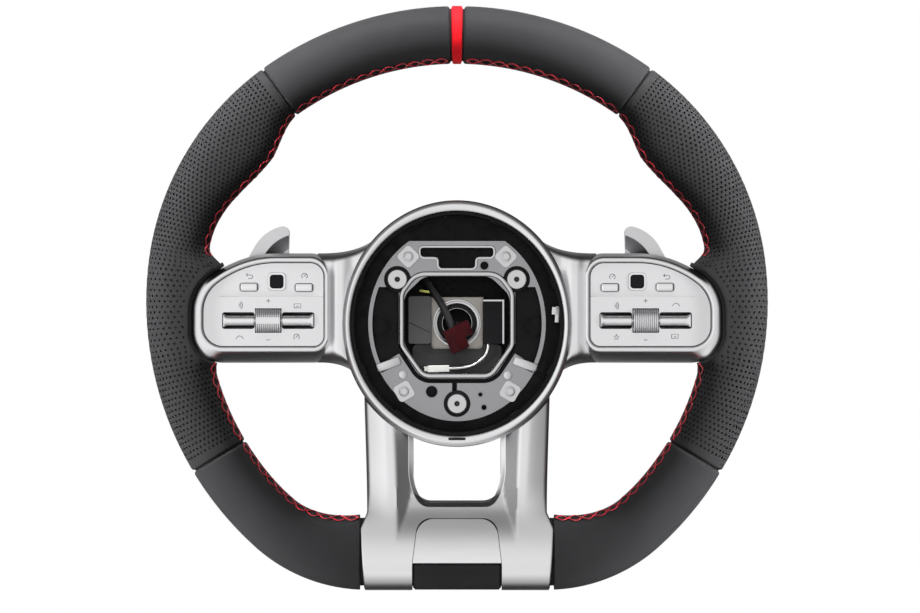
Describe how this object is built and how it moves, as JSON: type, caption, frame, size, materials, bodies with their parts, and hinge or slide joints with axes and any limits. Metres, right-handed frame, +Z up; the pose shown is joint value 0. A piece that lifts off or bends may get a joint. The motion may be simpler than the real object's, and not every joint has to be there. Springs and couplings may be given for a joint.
{
  "type": "car steering wheel",
  "caption": "Flat-bottomed leather steering wheel with satin spokes, switch pods and shift paddles; the open hub shows the horn plate.",
  "frame": {"origin": "on the column axis at the mouth of the hub's column bore", "axes": "+Z up with the wheel straight ahead, +Y along the column away from the driver, +X to the driver's right"},
  "size_m": [0.373, 0.0737, 0.3504],
  "materials": {
    "black_leather": "fine grain, soft sheen",
    "red_leather": "fine grain",
    "red_thread": "sewn thread",
    "satin_silver": "satin silver plating",
    "brushed_plate": "brushed",
    "bright_chrome": "satin chrome",
    "cast_magnesium": "as cast",
    "zinc_steel": "zinc plated",
    "foam": "moulded foam",
    "black_rubber": "matt",
    "dark_red_plastic": "moulded",
    "white_plastic": "clear white",
    "grey_plastic": "moulded",
    "gloss_black": "satin black",
    "matte_black": "fine texture"
  },
  "bodies": {
    "wheel": {"airbag_lead": "black_rubber", "airbag_plug": "dark_red_plastic", "armature": "cast_magnesium", "badge_plate": "brushed_plate", "bottom_leather_pad": "black_leather", "connector_block": "matte_black", "control_module": "grey_plastic", "cover_screws": "zinc_steel", "grip_leather_left": "black_leather", "grip_leather_right": "black_leather", "guide_bolts": "zinc_steel", "horn_lead": "white_plastic", "horn_plug": "white_plastic", "horn_springs": "zinc_steel", "hub_liner": "matte_black", "hub_ring": "satin_silver", "hub_tray": "grey_plastic", "lead_grommet": "black_rubber", "lower_back": "matte_black", "lower_leather_left": "black_leather", "lower_leather_right": "black_leather", "lower_trim": "satin_silver", "module_clip": "zinc_steel", "pad_frames": "bright_chrome", "paddle_brackets": "matte_black", "paddle_pins": "zinc_steel", "rear_cover": "matte_black", "rim_foam": "foam", "roller_axle_left": "zinc_steel", "seam_thread": "red_thread", "spoke_back_left": "matte_black", "spoke_back_right": "matte_black", "spoke_trim_left": "satin_silver", "spoke_trim_right": "satin_silver", "switch_housing_left": "matte_black", "switch_housing_right": "matte_black", "switch_panel_left": "satin_silver", "switch_panel_right": "satin_silver", "top_marker": "red_leather", "upper_leather_left": "black_leather", "upper_leather_right": "black_leather"},
    "horn": {"horn_plate": "zinc_steel", "plate_clips": "zinc_steel", "plate_rivets": "zinc_steel", "guide_bushes": "matte_black"},
    "roller_press_right": {"roller_axle_right": "zinc_steel"},
    "paddle_left": {"paddle_left": "satin_silver"},
    "roller_left": {"roller_left": "matte_black"},
    "rocker_inner_left": {"rocker_inner_left": "bright_chrome"},
    "rocker_outer_left": {"rocker_outer_left": "bright_chrome"},
    "button_inner_left": {"button_inner_left": "bright_chrome"},
    "button_outer_left": {"button_outer_left": "bright_chrome"},
    "touch_pad_left": {"touch_pad_left": "gloss_black"},
    "paddle_right": {"paddle_right": "satin_silver"},
    "roller_right": {"roller_right": "matte_black"},
    "rocker_inner_right": {"rocker_inner_right": "bright_chrome"},
    "rocker_outer_right": {"rocker_outer_right": "bright_chrome"},
    "button_inner_right": {"button_inner_right": "bright_chrome"},
    "button_outer_right": {"button_outer_right": "bright_chrome"},
    "touch_pad_right": {"touch_pad_right": "gloss_black"}
  },
  "joints": [
    {"name": "horn_press", "type": "slide", "parent": "wheel", "child": "horn", "axis": [0, 1, 0], "range_m": [0, 0.002], "stiffness_N_per_m": 8000, "deforming": ["horn_springs"]},
    {"name": "paddle_left_pull", "type": "hinge", "parent": "wheel", "child": "paddle_left", "pos_m": [-0.07, -0.014, 0.003], "axis": [0, 0, 1], "range_deg": [0, 4.5], "stiffness_Nm_per_rad": 4},
    {"name": "rocker_inner_left_tip", "type": "hinge", "parent": "wheel", "child": "rocker_inner_left", "pos_m": [-0.095, -0.0601, 0.0018], "axis": [1, 0, 0], "range_deg": [-3.5, 3.5], "stiffness_Nm_per_rad": 0.3},
    {"name": "rocker_outer_left_tip", "type": "hinge", "parent": "wheel", "child": "rocker_outer_left", "pos_m": [-0.1308, -0.0601, 0.0018], "axis": [1, 0, 0], "range_deg": [-3.5, 3.5], "stiffness_Nm_per_rad": 0.3},
    {"name": "button_inner_left_press", "type": "slide", "parent": "wheel", "child": "button_inner_left", "axis": [0, 1, 0], "range_m": [0, 0.0008], "stiffness_N_per_m": 1500},
    {"name": "button_outer_left_press", "type": "slide", "parent": "wheel", "child": "button_outer_left", "axis": [0, 1, 0], "range_m": [0, 0.0008], "stiffness_N_per_m": 1500},
    {"name": "touch_pad_left_press", "type": "slide", "parent": "wheel", "child": "touch_pad_left", "axis": [0, 1, 0], "range_m": [0, 0.0006], "stiffness_N_per_m": 1500},
    {"name": "paddle_right_pull", "type": "hinge", "parent": "wheel", "child": "paddle_right", "pos_m": [0.07, -0.014, 0.003], "axis": [0, 0, -1], "range_deg": [0, 4.5], "stiffness_Nm_per_rad": 4},
    {"name": "rocker_inner_right_tip", "type": "hinge", "parent": "wheel", "child": "rocker_inner_right", "pos_m": [0.095, -0.0601, 0.0018], "axis": [1, 0, 0], "range_deg": [-3.5, 3.5], "stiffness_Nm_per_rad": 0.3},
    {"name": "rocker_outer_right_tip", "type": "hinge", "parent": "wheel", "child": "rocker_outer_right", "pos_m": [0.1308, -0.0601, 0.0018], "axis": [1, 0, 0], "range_deg": [-3.5, 3.5], "stiffness_Nm_per_rad": 0.3},
    {"name": "button_inner_right_press", "type": "slide", "parent": "wheel", "child": "button_inner_right", "axis": [0, 1, 0], "range_m": [0, 0.0008], "stiffness_N_per_m": 1500},
    {"name": "button_outer_right_press", "type": "slide", "parent": "wheel", "child": "button_outer_right", "axis": [0, 1, 0], "range_m": [0, 0.0008], "stiffness_N_per_m": 1500},
    {"name": "touch_pad_right_press", "type": "slide", "parent": "wheel", "child": "touch_pad_right", "axis": [0, 1, 0], "range_m": [0, 0.0006], "stiffness_N_per_m": 1500},
    {"name": "roller_left_tilt", "type": "hinge", "parent": "wheel", "child": "roller_left", "pos_m": [-0.1129, -0.0604, 0.0018], "axis": [1, 0, 0], "range_deg": [-15, 15], "stiffness_Nm_per_rad": 0.05},
    {"name": "roller_right_press", "type": "slide", "parent": "wheel", "child": "roller_press_right", "axis": [0, 1, 0], "range_m": [0, 0.0008], "stiffness_N_per_m": 2500},
    {"name": "roller_right_spin", "type": "hinge", "parent": "roller_press_right", "child": "roller_right", "pos_m": [0.1129, -0.0604, 0.0018], "axis": [1, 0, 0], "continuous": true}
  ]
}
